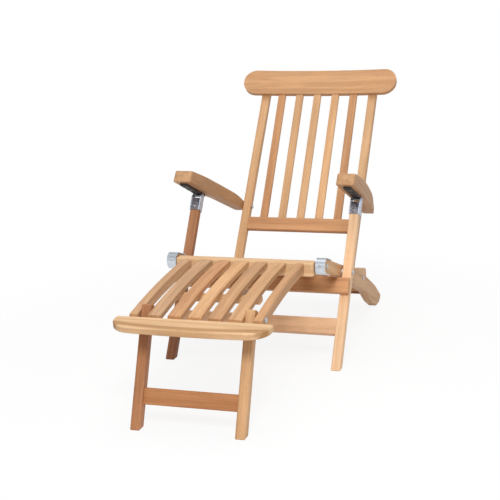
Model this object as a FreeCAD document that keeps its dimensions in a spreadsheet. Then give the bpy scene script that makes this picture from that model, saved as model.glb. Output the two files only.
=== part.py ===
import FreeCAD, Part
import math
import os
from types import SimpleNamespace

import Sketcher
from FreeCAD import Placement, Rotation, Vector

# Steamer deck chair in teak with steel fittings, all sizes in millimetres.
# X runs across the chair, with the sitter's left at +X. The sitter faces -Y and +Z is up.
# The origin lies on the floor under the middle of the chair. Side profiles are drawn as
# (y, z) from the line on the floor under the front legs' feet, which stands at feet_line_y.

SIZES = {
    "feet_line_y": -216.8,
    "wood_ease": 2.0,
    "small_ease": 1.5,
    "bolt_radius": 4.0,
    "bolt_head_radius": 8.5,
    "bolt_head_high": 4.0,
    "bolt_crown": 2.0,
    "bolt_crown_in": 2.5,
    "nut_radius": 7.0,
    "nut_thick": 5.0,
    "running_gap": 0.05,
    "screw_radius": 2.0,
    "screw_head_radius": 4.5,
    "screw_head_high": 2.5,
    "screw_dome": 1.8,
    "screw_long": 20.0,
    "screw_gap": 0.3,
    "washer_rim": 1.5,
    "steel_thick": 3.0,
    "rail_inner_x": 230.0,
    "rail_thick": 30.0,
    "knee_y": 8.0,
    "knee_z": 339.0,
    "nose_radius": 23.0,
    "rail_bend_y": 330.0,
    "rail_bend_z": 247.0,
    "rail_bend_radius": 900.0,
    "hump_y": 556.0,
    "hump_z": 188.0,
    "hump_step": 30.0,
    "hump_radius": 18.0,
    "step_radius": 5.0,
    "foot_bend_y": 700.0,
    "foot_bend_z": 84.0,
    "foot_bend_radius": 400.0,
    "foot_tip_y": 799.0,
    "foot_tip_z": 17.0,
    "foot_tip_radius": 9.0,
    "sole_back_y": 762.0,
    "sole_front_y": 716.0,
    "sole_back_radius": 10.0,
    "sole_front_radius": 20.0,
    "under_back_y": 640.0,
    "under_back_z": 38.0,
    "under_radius": 160.0,
    "under_mid_y": 552.0,
    "under_mid_z": 100.0,
    "under_mid_radius": 90.0,
    "under_front_y": 175.0,
    "under_front_z": 261.0,
    "foot_bar_y": 640.0,
    "foot_bar_bottom": 68.0,
    "foot_bar_high": 40.0,
    "foot_bar_thick": 22.0,
    "strap_wide": 31.0,
    "strap_top_tail": 55.0,
    "strap_under_tail": 40.0,
    "seat_slat_thick": 15.0,
    "seat_slat_wide": 56.0,
    "seat_slat_pitch": 80.0,
    "seat_slat_count": 5,
    "seat_drop": 10.0,
    "seat_front_y": 60.0,
    "seat_back_y": 550.0,
    "seat_bar_thick": 22.0,
    "seat_bar_high": 20.0,
    "seat_bar_middle_y": 300.0,
    "seat_bar_back_high": 56.0,
    "seat_bar_end_drop": 12.0,
    "seat_bar_corner": 3.0,
    "seat_bar_cut_corner": 4.0,
    "leg_lean": 34.2,
    "leg_wide": 30.0,
    "leg_deep": 28.0,
    "leg_gap": 5.0,
    "leg_pivot_y": 200.0,
    "leg_pivot_z": 270.0,
    "leg_top": 242.0,
    "leg_foot_radius": 3.0,
    "leg_top_radius": 4.0,
    "stop_bar_top": -29.5,
    "stop_bar_high": 52.0,
    "stop_bar_thick": 20.0,
    "leg_stretcher_up": 139.0,
    "leg_stretcher_high": 54.0,
    "leg_stretcher_thick": 22.0,
    "fork_bottom": 198.0,
    "fork_thick": 2.5,
    "fork_web_drop": 14.0,
    "fork_screw_up": 13.0,
    "fork_fold": 2.0,
    "fork_rim": 3.0,
    "fork_slope": 10.0,
    "fork_window_corner": 3.0,
    "pin_radius": 4.0,
    "pin_head_radius": 6.0,
    "pin_head_high": 1.5,
    "back_pivot_y": 501.0,
    "back_pivot_z": 166.0,
    "back_lean": 37.7,
    "stile_wide": 30.0,
    "stile_deep": 24.0,
    "stile_gap": 7.0,
    "stile_below": 22.0,
    "stile_short": 15.0,
    "stile_foot_radius": 11.0,
    "stile_top_radius": 3.0,
    "headrest_half": 297.0,
    "headrest_high": 101.0,
    "headrest_thick": 18.0,
    "headrest_hollow": 10.0,
    "headrest_middle": 782.0,
    "headrest_end_share": 0.48,
    "back_slat_wide": 28.0,
    "back_slat_thick": 12.0,
    "back_slat_pitch": 69.5,
    "back_slat_count": 5,
    "back_slat_forward": 11.0,
    "back_slat_setback": 8.0,
    "lower_rail_bottom": 169.7,
    "lower_rail_high": 50.0,
    "lower_rail_thick": 20.0,
    "arm_pivot_y": 665.0,
    "arm_pivot_z": 375.0,
    "arm_slope": 23.15,
    "arm_front": 496.0,
    "arm_rear": 27.0,
    "arm_under": 17.0,
    "arm_top_front": 23.0,
    "arm_top_middle": 31.0,
    "arm_top_rear": 17.0,
    "arm_inner_x": 247.5,
    "arm_wide": 60.0,
    "arm_rear_wide": 31.0,
    "arm_bend": 200.0,
    "arm_stile_gap": 1.0,
    "arm_nose_radius": 5.0,
    "arm_tail_radius": 15.0,
    "arm_bow_radius": 900.0,
    "arm_inner_corner": 6.0,
    "arm_outer_corner": 12.0,
    "arm_rear_corner": 4.0,
    "arm_outer_bend": 200.0,
    "arm_inner_bend": 80.0,
    "arm_taper_end": 70.0,
    "bolt_recess_gap": 1.0,
    "track_wide": 24.0,
    "track_thick": 8.0,
    "track_front": 484.0,
    "track_rear": 300.0,
    "track_corner": 2.0,
    "notch_gap": 0.3,
    "notch_count": 4,
    "recline_full": 35.0,
    "arm_follow": 0.68,
    "knee_bar_half": 226.0,
    "knee_bar_high": 42.0,
    "knee_bar_deep": 40.0,
    "knee_bar_y": -8.0,
    "knee_bar_z": 334.5,
    "knee_bolt_deep": 40.0,
    "bolt_end_gap": 2.0,
    "knee_bar_corner": 9.0,
    "rest_rail_outer": 197.0,
    "rest_rail_thick": 25.0,
    "rest_rail_high": 32.0,
    "arch_back_z": 355.5,
    "arch_middle_y": -240.0,
    "arch_middle_z": 342.0,
    "arch_front_y": -468.8,
    "arch_front_z": 308.0,
    "arch_run_out": 8.0,
    "rest_slat_wide": 40.0,
    "rest_slat_thick": 16.0,
    "rest_slat_pitch": 60.2,
    "rest_slat_count": 5,
    "cleat_y": -290.0,
    "cleat_wide": 30.0,
    "cleat_thick": 16.0,
    "board_half": 234.0,
    "board_deep": 92.0,
    "board_bow": 12.0,
    "board_thick": 20.0,
    "board_back_y": -470.0,
    "board_top_z": 302.0,
    "board_tilt": 3.0,
    "board_corner": 68.0,
    "board_back_corner": 8.0,
    "board_bow_radius": 3000.0,
    "board_ease": 3.0,
    "tongue_front_y": -506.0,
    "rest_bar_high": 20.0,
    "rest_bar_deep": 22.0,
    "rest_bar_behind": 10.0,
    "rest_leg_lean": 23.1,
    "rest_leg_outer": 169.8,
    "rest_leg_wide": 28.4,
    "rest_leg_deep": 31.0,
    "rest_pivot_y": -432.3,
    "rest_pivot_z": 300.0,
    "rest_leg_above": 26.0,
    "rest_leg_top_radius": 5.0,
    "rest_bolt_bite": 19.3,
    "rest_stretcher_up": 93.0,
    "rest_stretcher_high": 48.0,
    "rest_stretcher_thick": 20.0,
}

doc = FreeCAD.newDocument("steamer_deck_chair")
sheet = doc.addObject("Spreadsheet::Sheet", "sizes")
for row, (alias, value) in enumerate(SIZES.items(), start=1):
    sheet.set("A%d" % row, alias)
    sheet.set("B%d" % row, str(value))
    sheet.setAlias("B%d" % row, alias)
doc.recompute()
s = SimpleNamespace(**{alias: float(sheet.get(alias)) for alias in SIZES})
parts = []


# Points and outlines in a plane, as (across, up) pairs.

def polar(centre, radius, degrees):
    angle = math.radians(degrees)
    return (centre[0] + radius * math.cos(angle), centre[1] + radius * math.sin(angle))


def bearing(start, end):
    return math.degrees(math.atan2(end[1] - start[1], end[0] - start[0]))


def turned(point, degrees, centre=(0.0, 0.0)):
    away = math.dist(centre, point)
    return polar(centre, away, bearing(centre, point) + degrees)


def tangent_bearing(centre, radius, point, side):
    """Direction from the centre to where a line through the point touches the circle."""
    reach = math.degrees(math.acos(radius / math.dist(centre, point)))
    return bearing(centre, point) + side * reach


def arc_centre(first, middle, last):
    full = Part.Arc(Vector(*first, 0), Vector(*middle, 0), Vector(*last, 0)).toShape().Curve
    return (full.Center.x, full.Center.y), full.Radius


def height_on(centre, radius, across):
    return centre[1] + math.sqrt(radius ** 2 - (across - centre[0]) ** 2)


def rounded(corners, closing=None):
    """Closed outline of straight runs, each (across, up, radius) corner an arc if it has a radius.

    The last run, back to the first corner, is an arc through the closing point if there is one."""
    pieces = []
    joins = []
    count = len(corners)
    for index, (across, up, radius) in enumerate(corners):
        here = Vector(across, up, 0)
        before = Vector(*corners[index - 1][:2], 0)
        after = Vector(*corners[(index + 1) % count][:2], 0)
        if radius <= 0:
            joins.append((here, here, None))
            continue
        back = (before - here).normalize()
        ahead = (after - here).normalize()
        half = back.getAngle(ahead) / 2
        reach = radius / math.tan(half)
        middle = (back + ahead).normalize() * (radius / math.sin(half) - radius)
        joins.append((here + back * reach, here + ahead * reach, here + middle))
    for index, (start, end, middle) in enumerate(joins):
        if middle is not None:
            pieces.append(Part.Arc(start, middle, end))
        following = joins[(index + 1) % count][0]
        if closing is not None and index == count - 1:
            pieces.append(Part.Arc(end, Vector(*closing, 0), following))
        elif end.distanceToPoint(following) > 1e-6:
            pieces.append(Part.LineSegment(end, following))
    return pieces


def circle(centre, radius):
    return Part.Circle(Vector(*centre, 0), Vector(0, 0, 1), radius)


# Places in the chair.

def place(x, y, z, lean=0.0):
    """Frame at (x, y, z) whose up direction leans back by the given angle."""
    return Placement(Vector(x, y + s.feet_line_y, z), Rotation(Vector(1, 0, 0), -lean))


def leaning_point(base, lean, across, along):
    """Side point that lies (across, along) in a frame at base that leans back."""
    point = turned((across, along), -lean)
    return (base[0] + point[0], base[1] + point[1])


# Bodies, sketches and features.

def new_body(label, placement):
    body = doc.addObject("PartDesign::Body", label)
    body.Label = label
    body.AllowCompound = True
    body.Placement = placement
    parts.append(body)
    return body


def plane(body, role):
    return next(item for item in body.Origin.OriginFeatures if item.Role == role)


def draw(body, name, role, curves, height=0.0):
    sketch = body.newObject("Sketcher::SketchObject", body.Name + "_" + name)
    sketch.AttachmentSupport = [(plane(body, role), "")]
    sketch.MapMode = "FlatFace"
    sketch.AttachmentOffset = Placement(Vector(0, 0, height), Rotation())
    sketch.addGeometry(curves, False)
    return sketch


def draw_rectangle(body, name, role, across, up):
    """Rectangle centred on the origin whose two sizes are bound to the sheet."""
    half_across = sheet.evalExpression(across) / 2
    half_up = sheet.evalExpression(up) / 2
    corners = [(-half_across, -half_up), (half_across, -half_up),
               (half_across, half_up), (-half_across, half_up)]
    sketch = draw(body, name, role, rounded([(a, b, 0) for a, b in corners]))
    sketch.addConstraint([Sketcher.Constraint("Coincident", i, 2, (i + 1) % 4, 1) for i in range(4)])
    sketch.addConstraint([Sketcher.Constraint("Horizontal", 0), Sketcher.Constraint("Horizontal", 2)])
    sketch.addConstraint([Sketcher.Constraint("Vertical", 1), Sketcher.Constraint("Vertical", 3)])
    sketch.addConstraint(Sketcher.Constraint("Symmetric", 0, 1, 1, 2, -1, 1))
    wide = sketch.addConstraint(Sketcher.Constraint("DistanceX", 0, 1, 0, 2, 2 * half_across))
    high = sketch.addConstraint(Sketcher.Constraint("DistanceY", 1, 1, 1, 2, 2 * half_up))
    sketch.setExpression("Constraints[%d]" % wide, across)
    sketch.setExpression("Constraints[%d]" % high, up)
    return sketch


def pad(body, sketch, length, middle=True):
    feature = body.newObject("PartDesign::Pad", sketch.Name + "_pad")
    feature.Profile = sketch
    feature.Midplane = middle
    feature.setExpression("Length", length)
    sketch.Visibility = False
    doc.recompute()
    return feature


def pocket_through(body, sketch):
    feature = body.newObject("PartDesign::Pocket", sketch.Name + "_pocket")
    feature.Profile = sketch
    feature.Type = "ThroughAll"
    feature.Midplane = True
    doc.recompute()
    return feature


def trim(body, role, corners, radius):
    """Round the corners of a board seen along its thickness, by cutting away what lies outside."""
    across = [corner[0] for corner in corners]
    up = [corner[1] for corner in corners]
    margin = 5.0
    low = (min(across) - margin, min(up) - margin)
    high = (max(across) + margin, max(up) + margin)
    frame = rounded([(*low, 0), (high[0], low[1], 0), (*high, 0), (low[0], high[1], 0)])
    kept = rounded([(*corner[:2], corner[2] if len(corner) > 2 else radius) for corner in corners])
    return pocket_through(body, draw(body, "trimmed", role, frame + kept))


def pocket(body, sketch, length, reverse, direction=None):
    feature = body.newObject("PartDesign::Pocket", sketch.Name + "_pocket")
    feature.Profile = sketch
    feature.Reversed = reverse
    if direction is not None:
        feature.UseCustomVector = True
        feature.Direction = direction
    feature.setExpression("Length", length)
    before = body.Shape.Volume
    doc.recompute()
    if feature.Shape.Volume >= before:
        raise RuntimeError(body.Label + ": a pocket cut nothing")
    return feature


def chamfer(body, size, wanted):
    """Cut the edges of the body's last feature that the test picks at 45 degrees."""
    base = body.Tip
    names = ["Edge%d" % (number + 1) for number, edge in enumerate(base.Shape.Edges) if wanted(edge)]
    feature = body.newObject("PartDesign::Chamfer", body.Name + "_eased_edges")
    feature.Base = (base, names)
    feature.setExpression("Size", size)
    doc.recompute()
    return feature


def runs_along_x(edge):
    ends = [vertex.Point for vertex in edge.Vertexes]
    return len(ends) == 2 and abs(ends[0].y - ends[1].y) + abs(ends[0].z - ends[1].z) < 1e-4


def on_outer_face(half):
    """Test for edges that lie in the side faces at x = -half and x = +half, but not round holes."""
    def wanted(edge):
        box = edge.BoundBox
        flat = box.XLength < 1e-4
        round_hole = isinstance(edge.Curve, Part.Circle) and edge.isClosed()
        return flat and abs(abs(box.XMin) - half) < 1e-4 and not round_hole
    return wanted


def crossbar(label, placement, long, deep, high, ease="sizes.wood_ease"):
    """Straight bar that runs across the chair, with its long edges chamfered."""
    body = new_body(label, placement)
    sketch = draw_rectangle(body, "section", "YZ_Plane", deep, high)
    pad(body, sketch, long)
    chamfer(body, ease, runs_along_x)
    return body


def plank(label, placement, outline, thick, holes=(), ease="sizes.wood_ease"):
    """Board cut to a side outline, drilled across and chamfered along its outline."""
    body = new_body(label, placement)
    curves = outline + [circle(centre, size) for centre, size in holes]
    pad(body, draw(body, "outline", "YZ_Plane", curves), thick)
    chamfer(body, ease, on_outer_face(sheet.evalExpression(thick) / 2))
    return body


def turned_piece(label, placement, profile, sign=1.0):
    """Piece turned about a line across the chair, from its half section on the left."""
    body = new_body(label, placement)
    sketch = draw(body, "profile", "XY_Plane", rounded([(sign * x, r, 0) for x, r in profile]))
    revolution = body.newObject("PartDesign::Revolution", label + "_turned")
    revolution.Profile = sketch
    revolution.ReferenceAxis = (sketch, ["H_Axis"])
    revolution.Angle = 360.0
    doc.recompute()
    return body


def turned_pair(label, placement, profile):
    """Turned piece on the left and its mirror image on the right."""
    body = turned_piece(label, placement, profile)
    mirror(body, body.Tip)
    return body


def mirror(body, feature):
    mirrored = body.newObject("PartDesign::Mirrored", body.Name + "_other_side")
    mirrored.Originals = [feature]
    mirrored.MirrorPlane = (plane(body, "YZ_Plane"), [""])
    body.Tip = mirrored
    doc.recompute()


def bolt_profile(inner_x, outer_x, head_outside=True):
    """Half section of a bolt from inner_x to outer_x, with a head at one end and a nut at the other."""
    outer_radius = s.bolt_head_radius if head_outside else s.nut_radius
    inner_radius = s.nut_radius if head_outside else s.bolt_head_radius
    return [
        (inner_x - s.nut_thick, 0.0),
        (outer_x + s.bolt_head_high, 0.0),
        (outer_x + s.bolt_head_high, outer_radius - s.bolt_crown_in),
        (outer_x + s.bolt_head_high - s.bolt_crown, outer_radius),
        (outer_x, outer_radius),
        (outer_x, s.bolt_radius),
        (inner_x, s.bolt_radius),
        (inner_x, inner_radius),
        (inner_x - s.nut_thick, inner_radius),
    ]


drill = s.bolt_radius + s.running_gap
screw_hole = s.screw_radius + s.screw_gap
knee = (s.knee_y, s.knee_z)
leg_pivot = (s.leg_pivot_y, s.leg_pivot_z)
back_pivot = (s.back_pivot_y, s.back_pivot_z)
arm_pivot = (s.arm_pivot_y, s.arm_pivot_z)
rest_pivot = (s.rest_pivot_y, s.rest_pivot_z)
sides = (("left", 1.0), ("right", -1.0))

# Seat frame: two long rails whose noses carry the knee hinge and whose tails are the rear feet.

rail_x = s.rail_inner_x + s.rail_thick / 2
rail_bend = (s.rail_bend_y, s.rail_bend_z)
under_front = (s.under_front_y, s.under_front_z)
nose_top = tangent_bearing(knee, s.nose_radius, rail_bend, 1)
nose_under = tangent_bearing(knee, s.nose_radius, under_front, -1)
nose_front = (nose_top + nose_under) / 2 + 180.0


def rail_outline():
    top = polar(knee, s.nose_radius, nose_top)
    under = polar(knee, s.nose_radius, nose_under)
    corners = [
        (*top, 0),
        (*rail_bend, s.rail_bend_radius),
        (s.hump_y, s.hump_z, s.hump_radius),
        (s.hump_y, s.hump_z - s.hump_step, s.step_radius),
        (s.foot_bend_y, s.foot_bend_z, s.foot_bend_radius),
        (s.foot_tip_y, s.foot_tip_z, s.foot_tip_radius),
        (s.sole_back_y, 0.0, s.sole_back_radius),
        (s.sole_front_y, 0.0, s.sole_front_radius),
        (s.under_back_y, s.under_back_z, s.under_radius),
        (s.under_mid_y, s.under_mid_z, s.under_mid_radius),
        (*under_front, s.under_radius),
        (*under, 0),
    ]
    return rounded(corners, polar(knee, s.nose_radius, nose_front))


def strap_outline():
    """Steel band folded round the nose, with a tail along the rail's top and its underside."""
    inner = s.nose_radius
    outer = s.nose_radius + s.steel_thick
    tails = ((nose_top, -90.0, s.strap_top_tail), (nose_under, 90.0, s.strap_under_tail))
    corners = []
    for radius in (outer, inner):
        for start, turn, tail in tails:
            near = polar(knee, radius, start)
            corners.append((near, polar(near, tail, start + turn)))
    (top_out, top_out_end), (under_out, under_out_end) = corners[:2]
    (top_in, top_in_end), (under_in, under_in_end) = corners[2:]
    runs = [(top_in_end, top_out_end), (top_out_end, top_out), (under_out, under_out_end),
            (under_out_end, under_in_end), (under_in_end, under_in), (top_in, top_in_end)]
    curves = [Part.LineSegment(Vector(*a, 0), Vector(*b, 0)) for a, b in runs]
    for radius, start, end in ((outer, top_out, under_out), (inner, under_in, top_in)):
        front = polar(knee, radius, nose_front)
        curves.append(Part.Arc(Vector(*start, 0), Vector(*front, 0), Vector(*end, 0)))
    return curves


def rail_top(y):
    """Height of the rail's top edge."""
    if y < s.rail_bend_y:
        start, end = polar(knee, s.nose_radius, nose_top), rail_bend
    else:
        start, end = rail_bend, (s.hump_y, s.hump_z)
    return start[1] + (end[1] - start[1]) * (y - start[0]) / (end[0] - start[0])


def seat_slat_outline():
    """Seat slat that follows the rails' top edge, let down between them."""
    upper = s.seat_drop
    lower = s.seat_drop + s.seat_slat_thick
    return rounded([
        (s.seat_front_y, rail_top(s.seat_front_y) - upper, 0),
        (s.rail_bend_y, s.rail_bend_z - upper, s.rail_bend_radius),
        (s.seat_back_y, rail_top(s.seat_back_y) - upper, 0),
        (s.seat_back_y, rail_top(s.seat_back_y) - lower, 0),
        (s.rail_bend_y, s.rail_bend_z - lower, s.rail_bend_radius),
        (s.seat_front_y, rail_top(s.seat_front_y) - lower, 0),
    ])


def seat_bar(label, front_y, high, end_drop=0.0):
    """Bar between the rails whose sloping top carries the seat slats.

    The end drop cuts its ends down where the reclined stiles pass over them."""
    back_y = front_y + s.seat_bar_thick
    lower = s.seat_drop + s.seat_slat_thick
    front_top = rail_top(front_y) - lower
    back_top = rail_top(back_y) - lower
    bottom = back_top - high
    outline = rounded([(front_y, front_top, 0), (back_y, back_top, 0),
                       (back_y, bottom, s.seat_bar_corner), (front_y, bottom, s.seat_bar_corner)])
    body = new_body(label, place(0, 0, 0))
    pad(body, draw(body, "outline", "YZ_Plane", outline), "2 * sizes.rail_inner_x")
    if end_drop > 0:
        inner = s.rail_inner_x - s.stile_gap - s.stile_wide - s.stile_gap
        outer = s.rail_inner_x + s.stile_gap
        cut_z = front_top - end_drop
        spare_z = front_top + end_drop
        cuts = []
        for side, sign in sides:
            ends = [(sign * inner, cut_z, s.seat_bar_cut_corner), (sign * outer, cut_z, 0),
                    (sign * outer, spare_z, 0), (sign * inner, spare_z, 0)]
            cuts += rounded(ends)
        pocket_through(body, draw(body, "end_cuts", "XZ_Plane", cuts))


for side, sign in sides:
    holes = [(knee, drill), (leg_pivot, drill), (back_pivot, drill)]
    plank(side + "_seat_rail", place(sign * rail_x, 0, 0), rail_outline(), "sizes.rail_thick", holes)
    strap = new_body(side + "_knee_strap", place(sign * rail_x, 0, 0))
    pad(strap, draw(strap, "band", "YZ_Plane", strap_outline()), "sizes.strap_wide")
    hole = draw(strap, "screw_hole", "XZ_Plane", [circle((0, s.knee_z), screw_hole)], -s.knee_y)
    front = polar((0, 0), 1.0, nose_front)
    pocket(strap, hole, "2 * sizes.nose_radius", False, Vector(0, *front))

seat_bar("front_seat_bar", s.seat_front_y, s.seat_bar_high)
seat_bar("middle_seat_bar", s.seat_bar_middle_y, s.seat_bar_high)
seat_bar("rear_seat_bar", s.seat_back_y - s.seat_bar_thick, s.seat_bar_back_high, s.seat_bar_end_drop)
for number in range(int(s.seat_slat_count)):
    slat_x = (number - (s.seat_slat_count - 1) / 2) * s.seat_slat_pitch
    plank("seat_slat_%d" % (number + 1), place(slat_x, 0, 0), seat_slat_outline(),
          "sizes.seat_slat_wide", ease="sizes.small_ease")

foot_bar_place = (s.foot_bar_y, s.foot_bar_bottom + s.foot_bar_high / 2)
crossbar("rear_foot_bar", place(0, *foot_bar_place), "2 * sizes.rail_inner_x",
         "sizes.foot_bar_thick", "sizes.foot_bar_high")

# Main legs, which cross the rails. Their frame stands at the pivot bolt and leans with them.

leg_x = s.rail_inner_x + s.rail_thick + s.leg_gap + s.leg_wide / 2
leg_half = s.leg_deep / 2
lean = math.radians(s.leg_lean)
leg_foot = -s.leg_pivot_z / math.cos(lean)


def leg_frame(x=0.0):
    return place(x, *leg_pivot, s.leg_lean)


def floor_line(height, lean_angle, across):
    """Along-leg place of the floor under a pivot at that height, off the leg's axis by across."""
    angle = math.radians(lean_angle)
    return (across * math.sin(angle) - height) / math.cos(angle)


def arm_side(point):
    """A side point in the arm's frame: (along the arm, above its pivot)."""
    away = (point[0] - s.arm_pivot_y, point[1] - s.arm_pivot_z)
    return turned(away, s.arm_slope)


def pin_place():
    """Distance up the leg's axis at which the fork's pin meets the notch under the arm."""
    height = -s.arm_under - s.track_thick - s.notch_gap - s.pin_radius
    foot = arm_side(leg_pivot)
    ahead = arm_side(leaning_point(leg_pivot, s.leg_lean, 0, 1.0))
    return (height - foot[1]) / (ahead[1] - foot[1])


pin_up = pin_place()
fork_pin = leaning_point(leg_pivot, s.leg_lean, 0, pin_up)


def leg_outline():
    return rounded([
        (-leg_half, floor_line(s.leg_pivot_z, s.leg_lean, -leg_half), s.leg_foot_radius),
        (leg_half, floor_line(s.leg_pivot_z, s.leg_lean, leg_half), s.leg_foot_radius),
        (leg_half, s.leg_top, s.leg_top_radius),
        (-leg_half, s.leg_top, s.leg_top_radius),
    ])


def fork(label, x):
    """Channel of folded steel on the leg's top: a web in front and two cheeks that hold the pin."""
    body = new_body(label, leg_frame(x))
    half = s.leg_wide / 2
    outer = half + s.fork_thick
    front = -leg_half - s.fork_thick
    reach = s.pin_radius + s.fork_rim
    spare = 5.0
    top = pin_up + reach + spare
    section = [(-outer, front, s.fork_fold), (outer, front, s.fork_fold), (outer, leg_half, 0),
               (half, leg_half, 0), (half, -leg_half, 0), (-half, -leg_half, 0), (-half, leg_half, 0),
               (-outer, leg_half, 0)]
    pad(body, draw(body, "section", "XY_Plane", rounded(section), s.fork_bottom),
        "%f + sizes.pin_radius + sizes.fork_rim - sizes.fork_bottom" % pin_up, middle=False)
    web_top = pin_up - s.fork_web_drop
    window = rounded([(-half, web_top, s.fork_window_corner), (half, web_top, s.fork_window_corner),
                      (half, top, 0), (-half, top, 0)])
    screw_spot = circle((0, s.fork_bottom + s.fork_screw_up), screw_hole)
    for name, curves in (("window", window), ("screw_hole", [screw_spot])):
        pocket(body, draw(body, name, "XZ_Plane", curves, leg_half - spare), "sizes.leg_deep", True)
    cut = rounded([(front - spare, pin_up - s.fork_slope, 0), (-reach, pin_up, 0), (-reach, top, 0),
                   (front - spare, top, 0)])
    pocket_through(body, draw(body, "front_slope", "YZ_Plane", cut))
    pocket_through(body, draw(body, "pin_hole", "YZ_Plane", [circle((0, pin_up), s.pin_radius)]))


for side, sign in sides:
    plank(side + "_main_leg", leg_frame(sign * leg_x), leg_outline(), "sizes.leg_wide", [((0, 0), drill)])
    fork(side + "_leg_fork", sign * leg_x)

stop_bar_middle = s.stop_bar_top - s.stop_bar_high / 2
stop_bar_place = leaning_point(leg_pivot, s.leg_lean, -leg_half - s.stop_bar_thick / 2, stop_bar_middle)
crossbar("leg_stop_bar", place(0, *stop_bar_place, s.leg_lean),
         "2 * sizes.rail_inner_x + 2 * sizes.rail_thick + 2 * sizes.leg_gap + 2 * sizes.leg_wide",
         "sizes.stop_bar_thick", "sizes.stop_bar_high")
stretcher_place = leaning_point(leg_pivot, s.leg_lean, 0, leg_foot + s.leg_stretcher_up)
crossbar("leg_stretcher", place(0, *stretcher_place, s.leg_lean),
         "2 * sizes.rail_inner_x + 2 * sizes.rail_thick + 2 * sizes.leg_gap",
         "sizes.leg_stretcher_thick", "sizes.leg_stretcher_high")

# Back frame, which hinges between the rails. Its frame stands at the back pivot bolts.

stile_x = s.rail_inner_x - s.stile_gap - s.stile_wide / 2
stile_inner = s.rail_inner_x - s.stile_gap - s.stile_wide
stile_half = s.stile_deep / 2
arm_bolt_up = turned((s.arm_pivot_y - s.back_pivot_y, s.arm_pivot_z - s.back_pivot_z), s.back_lean)


def back_frame(x=0.0, across=0.0, along=0.0):
    return place(x, *leaning_point(back_pivot, s.back_lean, across, along), s.back_lean)


def headrest():
    """Board with round ends, hollowed along its front, in front of the stile tops."""
    half = s.headrest_half
    thick = s.headrest_thick
    seat = s.headrest_hollow * (stile_inner / half) ** 2
    bottom = s.headrest_middle - s.headrest_high / 2
    body = new_body("headrest", back_frame(0, seat - stile_half, bottom))
    front = [(-half, -thick - s.headrest_hollow), (0, -thick), (half, -thick - s.headrest_hollow)]
    back = [(half, -s.headrest_hollow), (0, 0), (-half, -s.headrest_hollow)]
    curves = [Part.Arc(*[Vector(*point, 0) for point in front]),
              Part.LineSegment(Vector(*front[2], 0), Vector(*back[0], 0)),
              Part.Arc(*[Vector(*point, 0) for point in back]),
              Part.LineSegment(Vector(*back[2], 0), Vector(*front[0], 0))]
    pad(body, draw(body, "plan", "XY_Plane", curves), "sizes.headrest_high", middle=False)
    trim(body, "XZ_Plane", [(-half, 0), (half, 0), (half, s.headrest_high), (-half, s.headrest_high)],
         s.headrest_high * s.headrest_end_share)


stile_top = s.headrest_middle + s.headrest_high / 2 - s.stile_short
for side, sign in sides:
    corners = [(-stile_half, -s.stile_below, s.stile_foot_radius),
               (stile_half, -s.stile_below, s.stile_foot_radius),
               (stile_half, stile_top, s.stile_top_radius),
               (-stile_half, stile_top, s.stile_top_radius)]
    holes = [((0, 0), drill), (arm_bolt_up, drill)]
    plank(side + "_back_stile", back_frame(sign * stile_x), rounded(corners), "sizes.stile_wide", holes)
headrest()

lower_rail_middle = s.lower_rail_bottom + s.lower_rail_high / 2
crossbar("lower_back_rail", back_frame(0, -stile_half + s.lower_rail_thick / 2, lower_rail_middle),
         "2 * (sizes.rail_inner_x - sizes.stile_gap - sizes.stile_wide)",
         "sizes.lower_rail_thick", "sizes.lower_rail_high")

for number in range(int(s.back_slat_count)):
    slat_x = (number - (s.back_slat_count - 1) / 2) * s.back_slat_pitch
    bottom = s.lower_rail_bottom + s.lower_rail_high
    top = s.headrest_middle - s.headrest_high / 2
    front_bottom = s.back_slat_setback - stile_half
    front_top = -stile_half - s.back_slat_forward
    corners = [(front_bottom, bottom, 0), (front_bottom + s.back_slat_thick, bottom, 0),
               (front_top + s.back_slat_thick, top, 0), (front_top, top, 0)]
    plank("back_slat_%d" % (number + 1), back_frame(slat_x), rounded(corners),
          "sizes.back_slat_wide", ease="sizes.small_ease")

# Arms, which hinge on the outer sides of the stiles and rest on the fork pins.
# An arm's frame stands at its pivot bolt, with y along the arm and its front at negative y.

arm_rear_x = s.rail_inner_x - s.stile_gap + s.arm_stile_gap
arm_outer_x = s.arm_inner_x + s.arm_wide
arm_middle_x = (arm_rear_x + arm_outer_x) / 2
arm_seat_x = arm_rear_x + s.arm_rear_wide - s.bolt_head_high


def arm_outline():
    return rounded([
        (-s.arm_front, -s.arm_under, s.arm_nose_radius),
        (s.arm_rear, -s.arm_under, s.arm_tail_radius),
        (s.arm_rear, s.arm_top_rear, s.arm_tail_radius),
        (-s.arm_bend, s.arm_top_middle, s.arm_bow_radius),
        (-s.arm_front, s.arm_top_front, s.arm_nose_radius),
    ])


def arm(label, sign):
    """Arm sawn to its side outline, then tapered in plan towards the stile."""
    body = new_body(label, place(sign * arm_middle_x, *arm_pivot, s.arm_slope))
    outline = arm_outline() + [circle((0, 0), drill)]
    pad(body, draw(body, "outline", "YZ_Plane", outline), "%f" % (arm_outer_x - arm_rear_x))
    plan = [
        (s.arm_inner_x, -s.arm_front, s.arm_inner_corner),
        (arm_outer_x, -s.arm_front, s.arm_outer_corner),
        (arm_outer_x, -s.arm_bend, s.arm_outer_bend),
        (arm_rear_x + s.arm_rear_wide, s.arm_rear, s.arm_rear_corner),
        (arm_rear_x, s.arm_rear, s.arm_rear_corner),
        (arm_rear_x, -s.arm_taper_end, s.arm_inner_bend),
        (s.arm_inner_x, -s.arm_bend, s.arm_inner_bend),
    ]
    trim(body, "XY_Plane", [(sign * (x - arm_middle_x), y, radius) for x, y, radius in plan], 0)
    recess = circle((0, 0), s.bolt_head_radius + s.bolt_recess_gap)
    sketch = draw(body, "bolt_seat", "YZ_Plane", [recess], sign * (arm_seat_x - arm_middle_x))
    pocket(body, sketch, "sizes.arm_wide", sign > 0)
    return body


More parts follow.
